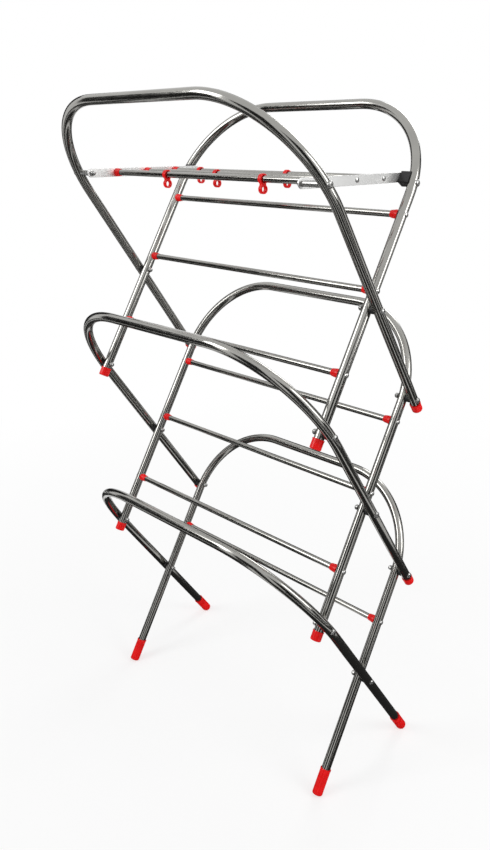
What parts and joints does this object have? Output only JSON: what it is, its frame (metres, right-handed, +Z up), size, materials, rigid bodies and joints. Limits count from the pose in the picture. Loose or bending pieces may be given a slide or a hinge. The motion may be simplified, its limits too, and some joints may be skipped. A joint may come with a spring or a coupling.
{
  "type": "clothes drying rack",
  "caption": "Folding tower clothes airer: crossed inverted-U tube frames pivoted as a scissor, cross rails, a lift-up hanger tray with rods and swinging hooks, and red end caps.",
  "frame": {"origin": "on the floor, at the centre of the bounding box's bottom face", "axes": "+X across the width, towards the right leg as seen from the front; -Y towards the front; +Z up"},
  "size_m": [0.7464, 0.4804, 1.437],
  "materials": {
    "frame_tube": "polished",
    "rail_tube": "polished",
    "strap_steel": "bright",
    "zinc_screw": "polished",
    "bolt_steel": "satin",
    "red_plastic": "glossy",
    "black_plastic": "matte"
  },
  "bodies": {
    "frame_f3_body": {"frame_f3": "frame_tube", "foot_f_left": "red_plastic", "foot_f_right": "red_plastic", "pivot_bolts_f3": "bolt_steel", "pivot_spacers_f3": "black_plastic", "pivot_nuts_f3": "bolt_steel"},
    "frame_b3_body": {"frame_b3": "frame_tube", "foot_b_left": "red_plastic", "foot_b_right": "red_plastic", "rail_b3_single": "rail_tube", "ferrules_b3": "red_plastic", "rail_screws_b3": "zinc_screw"},
    "frame_f2_body": {"frame_f2": "frame_tube", "caps_f2": "red_plastic", "pivot_bolts_f2": "bolt_steel", "pivot_spacers_f2": "black_plastic", "pivot_nuts_f2": "bolt_steel"},
    "frame_b2_body": {"frame_b2": "frame_tube", "caps_b2": "red_plastic", "rail_b2_upper": "rail_tube", "rail_b2_middle": "rail_tube", "rail_b2_lower": "rail_tube", "ferrules_b2": "red_plastic", "rail_screws_b2": "zinc_screw"},
    "frame_b1_body": {"frame_b1": "frame_tube", "caps_b1": "red_plastic", "rail_b1_upper": "rail_tube", "rail_b1_middle": "rail_tube", "rail_b1_lower": "rail_tube", "ferrules_b1": "red_plastic", "rail_screws_b1": "zinc_screw", "tray_cradles": "black_plastic", "cradle_bolts": "bolt_steel"},
    "frame_f1_body": {"frame_f1": "frame_tube", "caps_f1": "red_plastic", "pivot_bolts_f1": "bolt_steel", "pivot_spacers_f1": "black_plastic", "pivot_nuts_f1": "bolt_steel", "tray_bolts": "bolt_steel", "tray_spacers": "bolt_steel", "tray_nuts": "bolt_steel"},
    "tray_body": {"tray_strap_left": "strap_steel", "tray_strap_right": "strap_steel", "tray_rod_front": "rail_tube", "tray_rod_middle": "rail_tube", "tray_rod_rear": "rail_tube", "tray_ferrules": "red_plastic", "tray_screws": "zinc_screw", "tray_rest_pins": "bolt_steel"},
    "hook_1_body": {"hook_1": "red_plastic"},
    "hook_2_body": {"hook_2": "red_plastic"},
    "hook_3_body": {"hook_3": "red_plastic"},
    "hook_4_body": {"hook_4": "red_plastic"},
    "hook_5_body": {"hook_5": "red_plastic"}
  },
  "joints": [
    {"name": "fold", "type": "hinge", "parent": "frame_f3_body", "child": "frame_b3_body", "pos_m": [0, 0, 0.22878], "axis": [1, 0, 0], "range_deg": [0, 43]},
    {"name": "follow_f2", "type": "hinge", "parent": "frame_b3_body", "child": "frame_f2_body", "pos_m": [0, 0.13109, 0.43694], "axis": [1, 0, 0], "range_deg": [-43, 0]},
    {"name": "follow_b2", "type": "hinge", "parent": "frame_f2_body", "child": "frame_b2_body", "pos_m": [0, 0, 0.64511], "axis": [1, 0, 0], "range_deg": [0, 43]},
    {"name": "follow_b1", "type": "hinge", "parent": "frame_f2_body", "child": "frame_b1_body", "pos_m": [0, -0.13109, 0.85327], "axis": [1, 0, 0], "range_deg": [0, 43]},
    {"name": "follow_f1", "type": "hinge", "parent": "frame_b1_body", "child": "frame_f1_body", "pos_m": [0, 0, 1.06143], "axis": [1, 0, 0], "range_deg": [-43, 0]},
    {"name": "tray_lift", "type": "hinge", "parent": "frame_f1_body", "child": "tray_body", "pos_m": [0, -0.14334, 1.28906], "axis": [1, 0, 0], "range_deg": [0, 105]},
    {"name": "hook_1_swing", "type": "hinge", "parent": "tray_body", "child": "hook_1_body", "pos_m": [-0.128, -0.08, 1.28906], "axis": [1, 0, 0], "range_deg": [-90, 90]},
    {"name": "hook_2_swing", "type": "hinge", "parent": "tray_body", "child": "hook_2_body", "pos_m": [0.15, -0.08, 1.28906], "axis": [1, 0, 0], "range_deg": [-90, 90]},
    {"name": "hook_3_swing", "type": "hinge", "parent": "tray_body", "child": "hook_3_body", "pos_m": [-0.065, 0, 1.28906], "axis": [1, 0, 0], "range_deg": [-90, 90]},
    {"name": "hook_4_swing", "type": "hinge", "parent": "tray_body", "child": "hook_4_body", "pos_m": [-0.21, 0.08, 1.28906], "axis": [1, 0, 0], "range_deg": [-90, 90]},
    {"name": "hook_5_swing", "type": "hinge", "parent": "tray_body", "child": "hook_5_body", "pos_m": [0.061, 0.08, 1.28906], "axis": [1, 0, 0], "range_deg": [-90, 90]}
  ],
  "couplings": [
    {"joint": "follow_f2", "follows": "fold", "ratio": -1},
    {"joint": "follow_b2", "follows": "fold", "ratio": 1},
    {"joint": "follow_b1", "follows": "fold", "ratio": 1},
    {"joint": "follow_f1", "follows": "fold", "ratio": -1}
  ]
}
